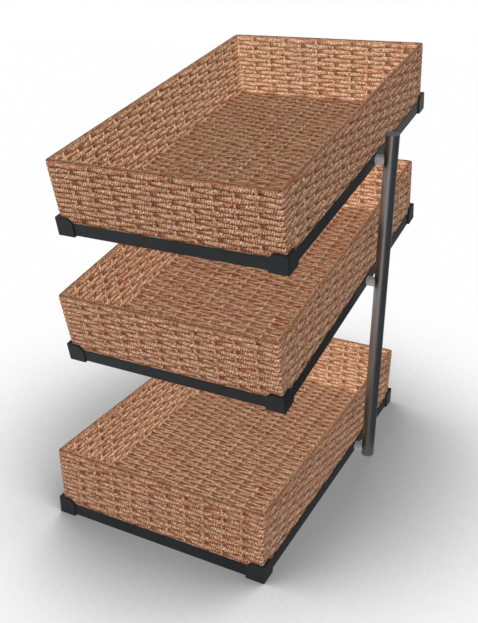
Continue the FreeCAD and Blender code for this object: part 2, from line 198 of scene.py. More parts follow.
class StageSettings(bpy.types.PropertyGroup):
    """Camera, lamps and floor."""

    azimuth: angle_property("Azimuth", "Turn of the view, from straight ahead to the right", 27.505)
    elevation: angle_property("Elevation", "How steeply the camera looks down", 24.303)
    camera_place: FloatVectorProperty(
        name="Camera place",
        description="Where the camera stands",
        default=(0.50581, -1.02365, 0.73872),
        subtype="XYZ",
        unit="LENGTH",
    )
    focal_pixels: FloatProperty(
        name="Focal length", description="In pixels of the picture", default=804.5, subtype="PIXEL"
    )
    picture_size: FloatVectorProperty(
        name="Picture size", description="Width and height in pixels", default=(478, 623), size=2
    )
    picture_axis: FloatVectorProperty(
        name="Picture axis",
        description="Pixel at which the lens points, from the picture's top left",
        default=(234.96, 321.70),
        size=2,
    )
    sky: strength_property("Sky", "Strength of the even light from all round", 0.1)
    fill: strength_property("Fill", "Strength of the light from the front", 2.6)
    fill_from: FloatVectorProperty(
        name="Fill from", description="Where the front light stands", default=(0.40, -0.915, 0.05)
    )
    side: strength_property("Side fill", "Strength of the light from the left", 1.6)
    side_from: FloatVectorProperty(
        name="Side from", description="Where the side light stands", default=(-1.0, 0.0, 0.0)
    )
    back: strength_property("Back light", "Strength of the light from behind", 3.6)
    back_from: FloatVectorProperty(
        name="Back from", description="Where the back light stands", default=(0.0, 0.9, 0.44)
    )
    back_colour: colour_property("Back colour", "Cool colour of the light from behind", "#F4FAFF")
    # The card glows dimly in this colour: a painted dark reflection on posts and rails.
    card: colour_property("Card", "Dark card that posts and rails reflect", "#5C5F64")
    floor: colour_property("Floor", "Colour of the studio floor", "#FFFFFF")


def add_node(tree, kind, inputs=None, stops=None, **settings):
    """Adds a node. Inputs are values or sockets to link, by name or number. Stops fill a colour ramp."""
    node = tree.nodes.new(kind)
    for name, value in settings.items():
        setattr(node, name, value)
    for name, value in (inputs or {}).items():
        if isinstance(value, bpy.types.NodeSocket):
            tree.links.new(value, node.inputs[name])
        else:
            node.inputs[name].default_value = value
    for number, (place, colour) in enumerate(stops or []):
        elements = node.color_ramp.elements
        element = elements[number] if number < 2 else elements.new(place)
        element.position = place
        element.color = colour
    return node


def start_material(name):
    """An empty material with a Principled shader on its output."""
    material = bpy.data.materials.new(name)
    material.use_nodes = True
    tree = material.node_tree
    tree.nodes.clear()
    shader = add_node(tree, "ShaderNodeBsdfPrincipled")
    add_node(tree, "ShaderNodeOutputMaterial", {"Surface": shader.outputs["BSDF"]})
    return material, tree, shader


def grey(value):
    """A linear grey for a colour ramp that carries a number."""
    return (value, value, value, 1.0)


def shades(colour, low, high, places=(0.3, 0.7)):
    """Ramp stops from a darker to a lighter shade of a colour, given as factors."""
    return [(place, [by * c for c in colour[:3]] + [1.0]) for place, by in zip(places, (low, high))]


def wire_finish(tree, shader, pattern, stops, roughness, relief, strength, depth):
    """Lets one pattern shade the colour and the roughness of a surface, and one be its relief."""
    tint = add_node(tree, "ShaderNodeValToRGB", {"Fac": pattern}, stops=stops)
    low, high = roughness
    rough = add_node(tree, "ShaderNodeMapRange", {"Value": pattern, "To Min": low, "To Max": high})
    bump = add_node(tree, "ShaderNodeBump", {"Height": relief, "Strength": strength, "Distance": depth})
    tree.links.new(tint.outputs["Color"], shader.inputs["Base Color"])
    tree.links.new(rough.outputs["Result"], shader.inputs["Roughness"])
    tree.links.new(bump.outputs["Normal"], shader.inputs["Normal"])


def twisted_cord(name, colours, weave, border=None):
    """Rattan fibre twisted into flat cord: matt, streaked along the fibres, with slanting twist grooves.

    Broad patches go from straw to rust along each strand. Painted umber shade fills the twist grooves, the
    recesses and the lower edges, the upper edges get a painted highlight, and painted shade darkens the
    outside.
    """
    material, tree, shader = start_material(name)
    strand = add_node(tree, "ShaderNodeUVMap", uv_map="strand").outputs["UV"]
    # The first attribute is painted shade above 0, and paleness below 0.
    shade_and_pale, tone, outside = (
        add_node(tree, "ShaderNodeAttribute", attribute_name=label).outputs["Fac"]
        for label in ("shade_and_pale", "tone", "outside")
    )

    # Colour patches about 16 by 12 mm that change from strand to strand.
    patch_place = add_node(
        tree, "ShaderNodeMapping", {"Vector": strand, "Scale": (1 / (16 * MM), 1 / (12 * MM), 1.0)}
    )
    patches = add_node(
        tree, "ShaderNodeTexNoise", {"Vector": patch_place.outputs["Vector"], "Scale": 1.0, "Detail": 3.0}
    )
    mood = add_node(tree, "ShaderNodeMath", {0: patches.outputs["Fac"], 1: tone}, operation="ADD")
    body = add_node(
        tree,
        "ShaderNodeValToRGB",
        {"Fac": mood.outputs["Value"]},
        stops=[
            (0.28, colours.rust),
            (0.74, colours.blush),
            (0.42, colours.tan if border is None else border),
            (0.53, colours.straw if border is None else border),
            (0.63, colours.ochre),
        ],
    )

    # Twist grooves slant over the strand. Fibres of 1.3 by 4 mm follow, coarser than real so as to show.
    slanted = add_node(
        tree, "ShaderNodeMapping", {"Vector": strand, "Rotation": (0.0, 0.0, TWIST_SLANT)}
    ).outputs["Vector"]
    twist = add_node(
        tree,
        "ShaderNodeTexWave",
        {
            "Vector": slanted,
            "Scale": BAND_PERIOD / weave.twist_pitch,
            "Distortion": 3.0,
            "Detail": 2.0,
            "Detail Scale": 3.0,
        },
        wave_type="BANDS",
        bands_direction="X",
    ).outputs["Fac"]
    fibre_place = add_node(
        tree, "ShaderNodeMapping", {"Vector": slanted, "Scale": (1 / (1.3 * MM), 1 / (4 * MM), 1.0)}
    )
    fibres = add_node(
        tree, "ShaderNodeTexNoise", {"Vector": fibre_place.outputs["Vector"], "Scale": 1.0, "Detail": 3.0}
    ).outputs["Fac"]
    # Knots and broken fibres 1.7 mm across.
    flecks = add_node(
        tree, "ShaderNodeTexNoise", {"Vector": strand, "Scale": 1 / (1.7 * MM), "Detail": 2.0}
    ).outputs["Fac"]

    # The twist grooves are painted umber, as shade.
    groove_shade = add_node(
        tree, "ShaderNodeValToRGB", {"Fac": twist}, stops=[(0.0, grey(0.7)), (0.5, grey(0.0))]
    )
    # Streaks and flecks multiply the colour: the dark ones are warmer, the pale ones cooler.
    streak = add_node(
        tree,
        "ShaderNodeValToRGB",
        {"Fac": fibres},
        stops=[(0.36, (0.32, 0.24, 0.16, 1.0)), (0.64, (1.68, 1.75, 1.83, 1.0))],
    )
    fleck = add_node(
        tree,
        "ShaderNodeValToRGB",
        {"Fac": flecks},
        stops=[(0.36, (0.6, 0.53, 0.46, 1.0)), (0.64, (1.4, 1.46, 1.52, 1.0))],
    )
    # Paleness is the painted highlight on upper edges, and the pale tone of stakes and border.
    paleness = add_node(tree, "ShaderNodeMath", {0: shade_and_pale, 1: -1.0}, operation="MULTIPLY")
    colour = body.outputs["Color"]
    # In turn: painted shade in twist grooves and weave, painted highlight and paleness, streaks, flecks,
    # painted shade outside.
    for factor, layer, blend in (
        (groove_shade.outputs["Color"], colours.umber, "MIX"),
        (shade_and_pale, colours.umber, "MIX"),
        (paleness.outputs["Value"], colours.highlight_and_pale, "SCREEN"),
        (1.0, streak.outputs["Color"], "MULTIPLY"),
        (1.0, fleck.outputs["Color"], "MULTIPLY"),
        (outside, colours.outside_shade, "MULTIPLY"),
    ):
        mixed = {MIX_FACTOR: factor, MIX_A: colour, MIX_B: layer}
        mix = add_node(tree, "ShaderNodeMix", mixed, data_type="RGBA", blend_type=blend)
        colour = mix.outputs[MIX_RESULT]
    tree.links.new(colour, shader.inputs["Base Color"])

    roughness = add_node(tree, "ShaderNodeMapRange", {"Value": fibres, "To Min": 0.56, "To Max": 0.82})
    tree.links.new(roughness.outputs["Result"], shader.inputs["Roughness"])
    shader.inputs["Specular IOR Level"].default_value = 0.03
    relief = add_node(tree, "ShaderNodeMath", {0: fibres, 1: 0.35, 2: twist}, operation="MULTIPLY_ADD")
    height = {"Height": relief.outputs["Value"], "Strength": 0.7, "Distance": 0.5 * MM}
    bump = add_node(tree, "ShaderNodeBump", height)
    tree.links.new(bump.outputs["Normal"], shader.inputs["Normal"])
    return material


def powder_coat(colour):
    """Anthracite powder coat on folded sheet: a satin film with fine orange peel and uneven sheen."""
    material, tree, shader = start_material("anthracite powder coat")
    place = add_node(tree, "ShaderNodeTexCoord").outputs["Object"]
    # Peel 1.2 mm across, a little coarser than real so that it shows.
    peel = add_node(tree, "ShaderNodeTexNoise", {"Vector": place, "Scale": 1 / (1.2 * MM), "Detail": 1.0})
    # Cloudy patches 40 mm across.
    cloud = add_node(tree, "ShaderNodeTexNoise", {"Vector": place, "Scale": 1 / (40 * MM), "Detail": 3.0})
    shader.inputs["Specular IOR Level"].default_value = 0.15
    cloudy, bumps = cloud.outputs["Fac"], peel.outputs["Fac"]
    tints = shades(colour, 0.85, 1.2)
    wire_finish(tree, shader, cloudy, tints, (0.40, 0.54), bumps, strength=0.25, depth=0.08 * MM)
    return material


def drawn_steel(name, colour, roughness, streak_width, stretch, metallic=1.0):
    """Steel with fine streaks along its length: a soft reflection broken by drawing or polishing marks."""
    material, tree, shader = start_material(name)
    place = add_node(tree, "ShaderNodeTexCoord").outputs["Object"]
    along = add_node(tree, "ShaderNodeMapping", {"Vector": place, "Scale": stretch})
    streaks = add_node(
        tree,
        "ShaderNodeTexNoise",
        {"Vector": along.outputs["Vector"], "Scale": 1 / streak_width, "Detail": 3.0},
    ).outputs["Fac"]
    shader.inputs["Metallic"].default_value = metallic
    tints = shades(colour, 0.88, 1.1)
    wire_finish(tree, shader, streaks, tints, roughness, streaks, strength=0.15, depth=0.03 * MM)
    return material


def moulded_plastic(colour):
    """Moulded polyethylene: dark and satin, with a fine spark eroded grain, 0.6 mm across."""
    material, tree, shader = start_material("moulded polyethylene")
    place = add_node(tree, "ShaderNodeTexCoord").outputs["Object"]
    grain = add_node(
        tree, "ShaderNodeTexNoise", {"Vector": place, "Scale": 1 / (0.6 * MM), "Detail": 2.0}
    ).outputs["Fac"]
    tints = shades(colour, 0.9, 1.12)
    wire_finish(tree, shader, grain, tints, (0.42, 0.56), grain, strength=0.3, depth=0.05 * MM)
    return material


def dress(node, material):
    """Gives a node of the frame its finish, through its object's material slots."""
    part = frame["nodes"][node]
    if not part.material_slots:
        raise RuntimeError(f"{node} has no material slot")
    for slot in part.material_slots:
        slot.material = material


class Basket(NamedTuple):
    """A basket: its tier, tilt, middle of the underside, outer half sizes at foot and rim, and height."""

    tier: str
    turn: np.ndarray
    origin: np.ndarray
    foot: np.ndarray
    rim: np.ndarray
    height: float


def read_basket(tier):
    """A basket's place and size from its node, seen square to the direction in which it lifts out."""
    body = f"{tier}_basket"
    lift = next((joint for joint in frame["joints"] if joint["child"] == body), None)
    if lift is None:
        raise RuntimeError(f"no joint lifts {body}")
    up = np.array(lift["axis"], float)
    up /= np.linalg.norm(up)
    across = np.array([1.0, 0.0, 0.0])
    turn = np.column_stack([across, np.cross(up, across), up])
    mesh = frame["nodes"][body].data
    places = np.empty(len(mesh.vertices) * 3)
    mesh.vertices.foreach_get("co", places)
    level = places.reshape(-1, 3) @ turn
    low, high = level.min(0), level.max(0)
    middle = (low + high) / 2
    foot = level[level[:, 2] < low[2] + MM]
    return Basket(
        tier,
        turn,
        turn @ np.array([middle[0], middle[1], low[2]]),
        (foot.max(0) - foot.min(0))[:2] / 2,
        (high - low)[:2] / 2,
        high[2] - low[2],
    )


class Walls(NamedTuple):
    """How the stakes are shared out over the four walls."""

    counts: np.ndarray
    starts: np.ndarray
    total: int


def share_stakes(basket, weave):
    """Stake spaces of each wall, as near the pitch as whole numbers allow, with a stake at each corner."""
    middle = basket.rim - weave.thickness / 2
    spaces = np.maximum(1, np.rint(2 * middle / weave.stake_pitch)).astype(int)
    counts = np.array([spaces[0], spaces[1], spaces[0], spaces[1]])
    starts = np.concatenate([[0], np.cumsum(counts)[:-1]])
    return Walls(counts, starts, int(counts.sum()))


def each_basket(weave, draws):
    """Every basket, lowest first, with its share of stakes and a random generator of its own.

    Draws keeps the generators of one step apart from those of the others.
    """
    for number, tier in enumerate(TIERS):
        basket = read_basket(tier)
        yield basket, share_stakes(basket, weave), np.random.default_rng(weave.seed + draws + number)


def wall_path(basket, weave, walls, stake, height, offset=0.0):
    """Points, outward and forward directions along the walls, over stake number, height and offset.

    The offset is the distance out of the walls' middle surface. All offsets bend alike at a corner.

    A wall runs from the middle of one corner to the middle of the next: an eighth of a circle of radius R,
    a straight run of length 2a, and another eighth. With run length w from the start of the straight part,
    the angle past it is f = (w - clip(w, 0, 2a)) / R, the place along the wall is
    clip(w, 0, 2a) - a + R sin f and the place across it is c - R + R cos f, where c is the wall's distance
    from the middle.
    """
    stake = np.mod(stake, walls.total)
    wall = np.searchsorted(walls.starts, stake, side="right") - 1
    share = (stake - walls.starts[wall]) / walls.counts[wall]
    rise = np.asarray(height)[..., None] / basket.height
    half = basket.foot + (basket.rim - basket.foot) * rise - weave.thickness / 2
    half = half + np.asarray(offset)[..., None]
    lengthwise = wall % 2 == 1
    reach = np.where(lengthwise, half[..., 1], half[..., 0])
    across = np.where(lengthwise, half[..., 0], half[..., 1])
    radius = weave.corner_radius
    a = reach - radius
    w = share * (2 * a + math.pi * radius / 2) - math.pi * radius / 4
    straight = np.clip(w, 0, 2 * a)
    f = (w - straight) / radius
    p = straight - a + radius * np.sin(f)
    q = across - radius + radius * np.cos(f)
    ahead, out = ALONG_WALL[wall], OUT_OF_WALL[wall]
    flat = ahead * p[..., None] + out * q[..., None]
    outward = ahead * np.sin(f)[..., None] + out * np.cos(f)[..., None]
    forward = ahead * np.cos(f)[..., None] - out * np.sin(f)[..., None]
    zero = np.zeros_like(p)[..., None]
    level = np.broadcast_to(height, p.shape)[..., None]
    return (
        np.concatenate([flat, level], -1),
        np.concatenate([outward, zero], -1),
        np.concatenate([forward, zero], -1),
    )


def oval(points, square=1.0):
    """Cosine and sine round a section, raised to a power below 1 to square it off."""
    angle = np.arange(points) * TURN / points
    cos, sin = np.cos(angle), np.sin(angle)
    return np.sign(cos) * np.abs(cos) ** square, np.sign(sin) * np.abs(sin) ** square


def smooth_step(low, high, value):
    """0 below low, 1 above high and a smooth cubic between."""
    t = np.clip((value - low) / (high - low), 0, 1)
    return t * t * (3 - 2 * t)


def outer_face(facing):
    """1 where a section faces out of the basket, 0 where it faces in, with a short change between."""
    return smooth_step(-0.25, 0.25, facing)


def painted_shade_of(phase, facing):
    """Painted shade on a strand's surface, 0 to 1: some where it lies behind a stake, most where it comes
    up.

    Seen from outside, the phase is 0 where a strand passes behind a stake and pi where it passes over one.
    A strand is darkest on the stretch where it comes up from behind a stake, on the viewer's right of it,
    so that stretch follows phase 0 on the outer face and comes before phase pi on the inner one. Counted
    in stake spaces, it darkens up to 0.08 and fades from 0.12 to 0.6.
    """
    after = np.mod(np.where(facing > 0, phase, math.pi - phase) + math.pi, TURN) - math.pi
    rising = smooth_step(0.0, 0.08, after / math.pi) * (1 - smooth_step(0.12, 0.6, after / math.pi))
    behind = np.clip(np.cos(after), 0, 1)
    return np.clip(0.55 * rising + 0.15 * behind, 0, 1)


def edge_shade_and_highlight(shade_and_pale, rise, dark, pale):
    """Adds painted shade on the lower edge of a strand, and a painted highlight on its upper edge as a
    value below 0.

    Rise goes from -1 at the lower edge to 1 at the upper edge. The lower half darkens from 0.3 to 0.85 of
    the way to its edge, and the upper half pales from 0.05 to 0.7.
    """
    lower = dark * smooth_step(0.3, 0.85, -rise)
    upper = pale * smooth_step(0.05, 0.7, rise) * (1 - shade_and_pale)
    return np.maximum(shade_and_pale, lower) - upper


def run_lengths(middle):
    """Metres from the start of a closed strand to each of its rings, and all the way round."""
    steps = np.linalg.norm(np.roll(middle, -1, 1) - middle, axis=-1)
    return np.concatenate([np.zeros((len(middle), 1)), np.cumsum(steps, 1)], 1)


def quad_corners(shape, u, u_next, v, v_next):
    """Map places of every quad's four corners, in the order in which its points are joined."""
    sides = [np.broadcast_to(side, shape) for side in (u, u_next, v, v_next)]
    pairs = ((0, 2), (1, 2), (1, 3), (0, 3))
    return np.stack([np.stack([sides[i], sides[j]], -1) for i, j in pairs], -2).reshape(-1, 2)


def sheet_map(shape, girth, length, closed):
    """Places on a square sheet where no two quads overlap, for textures drawn on the piece.

    Tubes are cut into strips of whole steps, and each strip fills one cell of a grid, inside a margin.
    The numbers of cuts and columns are the roots of the ratio of a tube's length to the girth of all tubes
    and of its inverse, so that both directions come out at about one scale. A cap lies on its strip's end.
    """
    tubes, steps, points = shape
    slender = length / (tubes * girth[-1])
    cuts, columns = max(1, round(math.sqrt(slender))), max(1, round(math.sqrt(1 / slender)))
    per_strip = math.ceil(steps / cuts)
    cell = np.arange(tubes)[:, None, None] * cuts + np.arange(steps)[:, None] // per_strip
    column, row, rows = cell % columns, cell // columns, math.ceil(tubes * cuts / columns)
    along = np.arange(steps)[:, None] % per_strip
    margin = 0.03
    part = (1 - 2 * margin) * np.stack([along, along + 1]) / per_strip + margin
    round_it = (1 - 2 * margin) * girth / girth[-1] + margin
    u, u_next = (column + part[0]) / columns, (column + part[1]) / columns
    v, v_next = (row + round_it[:-1]) / rows, (row + round_it[1:]) / rows
    corners = quad_corners(shape, u, u_next, v, v_next)
    if closed:
        return corners
    angle = np.arange(points) * TURN / points
    ends = []
    for end in (0, -1):
        across = u[:, end] + (u_next - u)[:, end] * (0.5 + 0.5 * np.cos(angle))
        up = (row[:, end] + margin + (1 - 2 * margin) * (0.5 + 0.5 * np.sin(angle))) / rows
        ends.append(np.stack(np.broadcast_arrays(across, up), -1).reshape(-1, 2))
    return np.concatenate([corners, *ends])


def add_tubes(basket, label, rings, closed, lengths, tone, shade_and_pale, outside, material):
    """Adds a piece of a basket: rings of points joined to tubes by quads, with a face on each open end.

    Rings has the shape tube, ring, point, coordinate. A point is placed by the basket's tilt and origin.
    The strand map holds metres along a tube and round it, moved on from tube to tube so that none look
    alike. The OFBake map is the sheet on which the finished textures of the piece can be drawn.
    """
    name = f"{basket.tier}_basket_{label}"
    tubes, count, points = rings.shape[:3]
    numbers = np.arange(tubes * count * points).reshape(tubes, count, points)
    ahead = np.roll(numbers, -1, 1) if closed else numbers[:, 1:]
    here = numbers if closed else numbers[:, :-1]
    quads = np.stack([here, ahead, np.roll(ahead, -1, 2), np.roll(here, -1, 2)], -1).reshape(-1, 4)
    caps = [] if closed else [*numbers[:, 0].tolist(), *numbers[:, -1, ::-1].tolist()]
    placed = rings.reshape(-1, 3) @ basket.turn.T + basket.origin

    mesh = bpy.data.meshes.new(name)
    mesh.from_pydata(placed, [], quads.tolist() + caps)
    mesh.shade_smooth()

    edge = np.linalg.norm(np.roll(rings, -1, 2) - rings, axis=-1).mean((0, 1))
    girth = np.concatenate([[0], np.cumsum(edge)])
    start = lengths + np.arange(tubes)[:, None] * NEXT_ALONG
    shift = np.arange(tubes)[:, None, None] * NEXT_ROUND
    u, u_next = start[:, :-1, None], start[:, 1:, None]
    corners = quad_corners(here.shape, u, u_next, girth[:-1] + shift, girth[1:] + shift)
    cap_corners = np.zeros((sum(map(len, caps)), 2))
    length = float(np.ptp(lengths, axis=1).mean())
    for map_name, places in (
        ("strand", np.concatenate([corners, cap_corners])),
        ("OFBake", sheet_map(here.shape, girth, length, closed)),
    ):
        layer = mesh.uv_layers.new(name=map_name)
        layer.uv.foreach_set("vector", places.astype(np.float32).ravel())

    # The first attribute carries painted shade above 0 and paleness below 0.
    for value_name, values in (("shade_and_pale", shade_and_pale), ("tone", tone), ("outside", outside)):
        attribute = mesh.attributes.new(value_name, "FLOAT", "POINT")
        spread = np.broadcast_to(values, (tubes, count, points))
        attribute.data.foreach_set("value", spread.astype(np.float32).ravel())

    mesh.materials.append(material)
    piece = bpy.data.objects.new(name, mesh)
    bpy.context.scene.collection.objects.link(piece)
    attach(piece, f"{basket.tier}_basket")
    return piece


def ripple(rng, shape, turns, period):
    """Smooth random unevenness between -1 and 1: three sines whose whole turns close over the period.

    Shape gives tubes and samples, and turns the range of whole turns, without its end. The sum of the
    sines is divided by their number.
    """
    tubes, samples = shape
    along = np.arange(samples) / period
    waves = rng.integers(turns[0], turns[1], (tubes, 3))[..., None]
    phases = rng.uniform(0, TURN, (tubes, 3))[..., None]
    return np.sin(TURN * waves * along + phases).mean(1)


def wicker(scene):
    """The material of strands and stakes, made on first use."""
    name = "twisted rattan cord"
    made = bpy.data.materials.get(name)
    return made or twisted_cord(name, scene.basket_colours, scene.basket_weave)


class STAND_OT_weave_walls(bpy.types.Operator):
    """Weaves the walls of the three baskets"""

    bl_idname = "stand.weave_walls"
    bl_label = "Weave basket walls"

    def execute(self, context):
        """Each row is a closed flat strand whose middle swings by A cos(pi (stake + row)) about the wall.

        Its section is a squared oval, as deep all along and wider by the swell where it passes a stake.
        At the corners the swing fades out and the strand lies on the outside.
        """
        weave, material = context.scene.basket_weave, wicker(context.scene)
        swing = (weave.thickness - weave.strand_thickness) / 2
        cos, sin = oval(WALL_POINTS, SQUARED)
        half_depth = (cos * weave.strand_thickness / 2)[:, None]
        outside = outer_face(cos)
        for basket, walls, rng in each_basket(weave, 0):
            top = basket.height - weave.rim_height
            rows = int(top / weave.row_pitch)
            samples = walls.total * weave.samples
            stake = np.arange(samples) / weave.samples
            row = np.arange(rows)[:, None]
            phase = math.pi * (stake + row)
            from_corner = np.abs(stake[:, None] - np.append(walls.starts, walls.total)).min(1)
            fade = smooth_step(SWING_BEGINS, SWING_WHOLE, from_corner)
            height = top - (row + 0.5) * weave.row_pitch
            height = height + ROW_WANDER * ripple(rng, (rows, samples), (3, 23), samples)
            depth = swing * (1 - fade - fade * np.cos(phase))
            middle, outward, _ = wall_path(basket, weave, walls, stake, height, depth)
            width = weave.row_pitch + weave.strand_lap + weave.strand_swell * np.cos(phase) ** 2
            width = width * (1 + WALL_UNEVEN * ripple(rng, (rows, samples), (7, 41), samples))
            rings = middle[:, :, None, :] + outward[:, :, None, :] * half_depth
            rings[..., 2] += (width / 2)[..., None] * sin
            tone = rng.normal(0, WALL_TONE, (rows, 1, 1))
            # Painted shade where a strand lies deep or comes up from a stake, fading at corners; then
            # painted edge shade and highlight, stronger outside.
            shade_and_pale = painted_shade_of(phase[..., None], cos) * fade[:, None]
            shade_and_pale = edge_shade_and_highlight(shade_and_pale, sin, dark=0.75 + 0.2 * outside, pale=0.5 + 0.25 * outside)
            lengths = run_lengths(middle)
            piece = add_tubes(basket, "walls", rings, True, lengths, tone, shade_and_pale, outside, material)
            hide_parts(f"{basket.tier}_basket")
        return {"FINISHED"}


class STAND_OT_set_stakes(bpy.types.Operator):
    """Sets the upright stakes that the walls are woven round, and the floor stakes"""

    bl_idname = "stand.set_stakes"
    bl_label = "Set basket stakes"

    def execute(self, context):
        """A stake is an oval rod on the middle surface of wall or floor. On the walls it is slightly bent.

        At angle g round the section a point lies half the depth times cos g out of the middle line, and
        half the width times sin g along the wall or floor.
        """
        weave, material = context.scene.basket_weave, wicker(context.scene)
        cos, sin = oval(ROD_POINTS)
        deep, wide = cos * weave.stake_depth / 2, sin * weave.stake_width / 2
        for basket, walls, rng in each_basket(weave, 100):
            levels = np.linspace(weave.thickness / 2, basket.height - weave.rim_height / 2, STAKE_RINGS)
            stake = np.broadcast_to(np.arange(walls.total)[:, None], (walls.total, STAKE_RINGS))
            middle, outward, forward = wall_path(basket, weave, walls, stake, levels[None, :])
            bend = STAKE_BEND * ripple(rng, stake.shape, (1, 3), STAKE_RINGS)
            middle = middle + forward * bend[..., None]
            rings = (
                middle[:, :, None, :]
                + outward[:, :, None, :] * deep[:, None]
                - forward[:, :, None, :] * wide[:, None]
            )
            lengths = np.broadcast_to(levels, stake.shape)
            tone = rng.normal(STAKE_TONE, WALL_TONE, (walls.total, 1, 1))
            outside = outer_face(cos)
            add_tubes(basket, "stakes", rings, False, lengths, tone, STAKE_PALENESS, outside, material)

            across = wall_path(basket, weave, walls, np.arange(1, walls.counts[0]), 0.0)[0][:, 0]
            reach = basket.foot[1] - weave.thickness / 2
            along = np.linspace(-reach, reach, STAKE_RINGS)
            rings = np.empty((len(across), STAKE_RINGS, ROD_POINTS, 3))
            rings[..., 0] = across[:, None, None] - wide
            rings[..., 1] = along[None, :, None]
            rings[..., 2] = weave.thickness / 2 + deep
            lengths = np.broadcast_to(along, rings.shape[:2])
            tone = rng.normal(STAKE_TONE, FLOOR_TONE, (len(across), 1, 1))
            outside = outer_face(-cos)
            add_tubes(basket, "floor_stakes", rings, False, lengths, tone, FLOOR_STAKE_PALENESS, outside, material)
        return {"FINISHED"}


class STAND_OT_weave_floors(bpy.types.Operator):
    """Weaves the floors of the three baskets"""

    bl_idname = "stand.weave_floors"
    bl_label = "Weave basket floors"

    def execute(self, context):
        """Each row is an open flat strand across the basket that swings up and down past the floor stakes.

        Its middle lies A cos(pi (stake + row)) under the middle of the floor's thickness. Its section is
        an oval, as deep all along and wider by the swell where it passes a stake.
        """
        weave, material = context.scene.basket_weave, wicker(context.scene)
        swing = (weave.thickness - weave.strand_thickness) / 2
        cos, sin = oval(ROD_POINTS)
        outside = outer_face(-cos)
        for basket, walls, rng in each_basket(weave, 200):
            spaces = walls.counts[0]
            stakes = wall_path(basket, weave, walls, np.arange(1, spaces), 0.0)[0][:, 0]
            reach_x, reach_y = basket.foot - weave.thickness / 2
            x = np.linspace(-reach_x, reach_x, spaces * FLOOR_SAMPLES + 1)
            stake = 1 + (x - stakes[0]) / (stakes[1] - stakes[0])
            rows = int(2 * reach_y / weave.floor_pitch)
            row = np.arange(rows)[:, None]
            phase = math.pi * (stake + row)
            shape = (rows, len(x))
            y = (row - (rows - 1) / 2) * 2 * reach_y / rows
            y = y + ROW_WANDER * ripple(rng, shape, (2, 9), len(x))
            width = weave.floor_pitch + weave.strand_lap + weave.strand_swell * np.cos(phase) ** 2
            width = width * (1 + FLOOR_UNEVEN * ripple(rng, shape, (3, 13), len(x)))
            middle = weave.thickness / 2 - (swing * np.cos(phase))[..., None]
            rings = np.empty((*shape, ROD_POINTS, 3))
            rings[..., 0] = x[None, :, None]
            rings[..., 1] = y[..., None] + (width / 2)[..., None] * sin
            rings[..., 2] = middle + cos * weave.strand_thickness / 2
            lengths = np.broadcast_to(x, shape)
            tone = rng.normal(0, FLOOR_TONE, (rows, 1, 1))
            # Painted shade in the weave and on lower edges, and a painted highlight on upper edges.
            shade_and_pale = edge_shade_and_highlight(painted_shade_of(phase[..., None], cos), sin, dark=0.7, pale=0.85)
            add_tubes(basket, "floor", rings, False, lengths, tone, shade_and_pale, outside, material)
        return {"FINISHED"}


class STAND_OT_bind_rims(bpy.types.Operator):
    """Lays the rolled border along the top of each basket"""

    bl_idname = "stand.bind_rims"
    bl_label = "Bind basket rims"

    def execute(self, context):
        """The border is a flat oval roll round the top. Its two lobes turn half round per stake space.

        At angle g round the section its size is 1 - d (1 - cos(2 g - 2 pi stake)) / 2 of the whole, where
        d is the depth of the lobes.
        """
        weave, colours = context.scene.basket_weave, context.scene.basket_colours
        material = twisted_cord("rolled rattan border", colours, weave, colours.border)
        cos, sin = oval(RIM_POINTS, SQUARED)
        angle = np.arange(RIM_POINTS) * TURN / RIM_POINTS
        outside = outer_face(cos)
        for basket, walls, rng in each_basket(weave, 300):
            samples = walls.total * weave.samples
            stake = np.arange(samples) / weave.samples
            level = np.full((1, samples), basket.height - weave.rim_height / 2)
            middle, outward, _ = wall_path(basket, weave, walls, stake, level)
            lobes = 1 - LOBE_DEPTH * (0.5 - 0.5 * np.cos(2 * angle - TURN * stake[:, None]))
            wide = cos * lobes * weave.thickness / 2
            rings = middle[:, :, None, :] + outward[:, :, None, :] * wide[None, :, :, None]
            rings[..., 2] += sin * lobes * weave.rim_height / 2
            lengths = run_lengths(middle)
            tone = rng.normal(0, WALL_TONE, (1, 1, 1))
            add_tubes(basket, "rim", rings, True, lengths, tone, RIM_PALENESS, outside, material)
        return {"FINISHED"}


class STAND_OT_coat_trays(bpy.types.Operator):
    """Gives the rails and corners of the trays their powder coat"""

    bl_idname = "stand.coat_trays"
    bl_label = "Coat trays"

    def execute(self, context):
        coat = powder_coat(context.scene.basket_metals.coating)
        for tier in TIERS:
            for rail in ENDS + SIDES:
                dress(f"{tier}_{rail}_rail", coat)
            for end in ENDS:
                for side in SIDES:
                    dress(f"{tier}_{end}_{side}_corner", coat)
        return {"FINISHED"}


class STAND_OT_finish_posts(bpy.types.Operator):
    """Finishes the two posts with their caps and foot plugs"""

    bl_idname = "stand.finish_posts"
    bl_label = "Finish posts"

    def execute(self, context):
        metals = context.scene.basket_metals
        # Drawing marks 0.6 mm wide and many times as long run up the tube.
        up_post = (1.0, 1.0, 0.02)
        steel = drawn_steel("drawn gunmetal steel", metals.gunmetal, (0.34, 0.44), 0.6 * MM, up_post)
        plastic = moulded_plastic(metals.plastic)
        for side in SIDES:
            dress(f"{side}_post", steel)
            dress(f"{side}_post_cap", plastic)
            dress(f"{side}_foot_plug", plastic)
        return {"FINISHED"}


